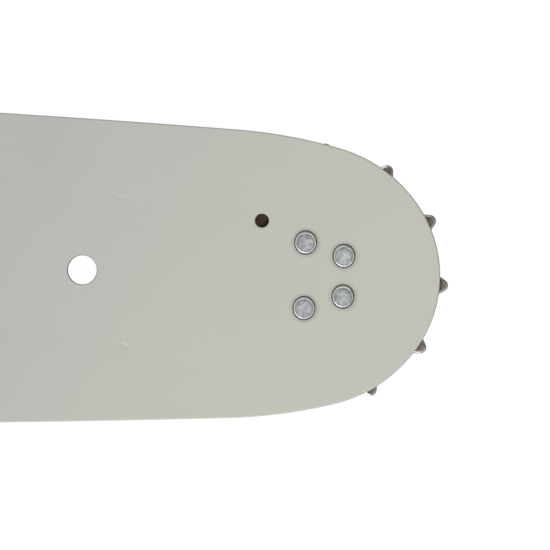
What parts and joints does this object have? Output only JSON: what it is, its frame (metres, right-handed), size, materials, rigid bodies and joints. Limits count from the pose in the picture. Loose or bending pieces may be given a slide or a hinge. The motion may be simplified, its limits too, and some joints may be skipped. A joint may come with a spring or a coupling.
{
  "type": "chainsaw guide bar",
  "caption": "Flat laminated chainsaw guide bar with a chain groove round its edge, a stud slot at the tail and a riveted nose with a toothed sprocket that turns on rollers.",
  "frame": {"origin": "middle of the stud slot, on the lower clamping face", "axes": "+Y along the bar towards the nose, +Z out of the upper clamping face, +X across the bar"},
  "size_m": [0.0714, 0.4737, 0.005],
  "materials": {
    "bar_enamel": "semi-matte pale grey enamel",
    "core_steel": "plain rolled steel",
    "sprocket_steel": "brown oxide on hardened steel",
    "bearing_steel": "ground bearing steel",
    "rivet_steel": "pressed bare steel"
  },
  "bodies": {
    "bar": {"side_plate_upper": "bar_enamel", "side_plate_lower": "bar_enamel", "core_plate": "core_steel", "bearing_race": "bearing_steel", "nose_rivets": "rivet_steel"},
    "sprocket": {"nose_sprocket": "sprocket_steel"},
    "roller_set": {"roller_01": "bearing_steel", "roller_02": "bearing_steel", "roller_03": "bearing_steel", "roller_04": "bearing_steel", "roller_05": "bearing_steel", "roller_06": "bearing_steel", "roller_07": "bearing_steel", "roller_08": "bearing_steel", "roller_09": "bearing_steel", "roller_10": "bearing_steel", "roller_11": "bearing_steel", "roller_12": "bearing_steel", "roller_13": "bearing_steel", "roller_14": "bearing_steel", "roller_15": "bearing_steel", "roller_16": "bearing_steel", "roller_17": "bearing_steel", "roller_18": "bearing_steel"}
  },
  "joints": [
    {"name": "sprocket_spin", "type": "hinge", "parent": "bar", "child": "sprocket", "pos_m": [0, 0.39, 0.0022], "axis": [0, 0, 1], "continuous": true},
    {"name": "roller_orbit", "type": "hinge", "parent": "bar", "child": "roller_set", "pos_m": [0, 0.39, 0.0022], "axis": [0, 0, 1], "continuous": true}
  ],
  "couplings": [
    {"joint": "roller_orbit", "follows": "sprocket_spin", "ratio": 0.58561}
  ]
}
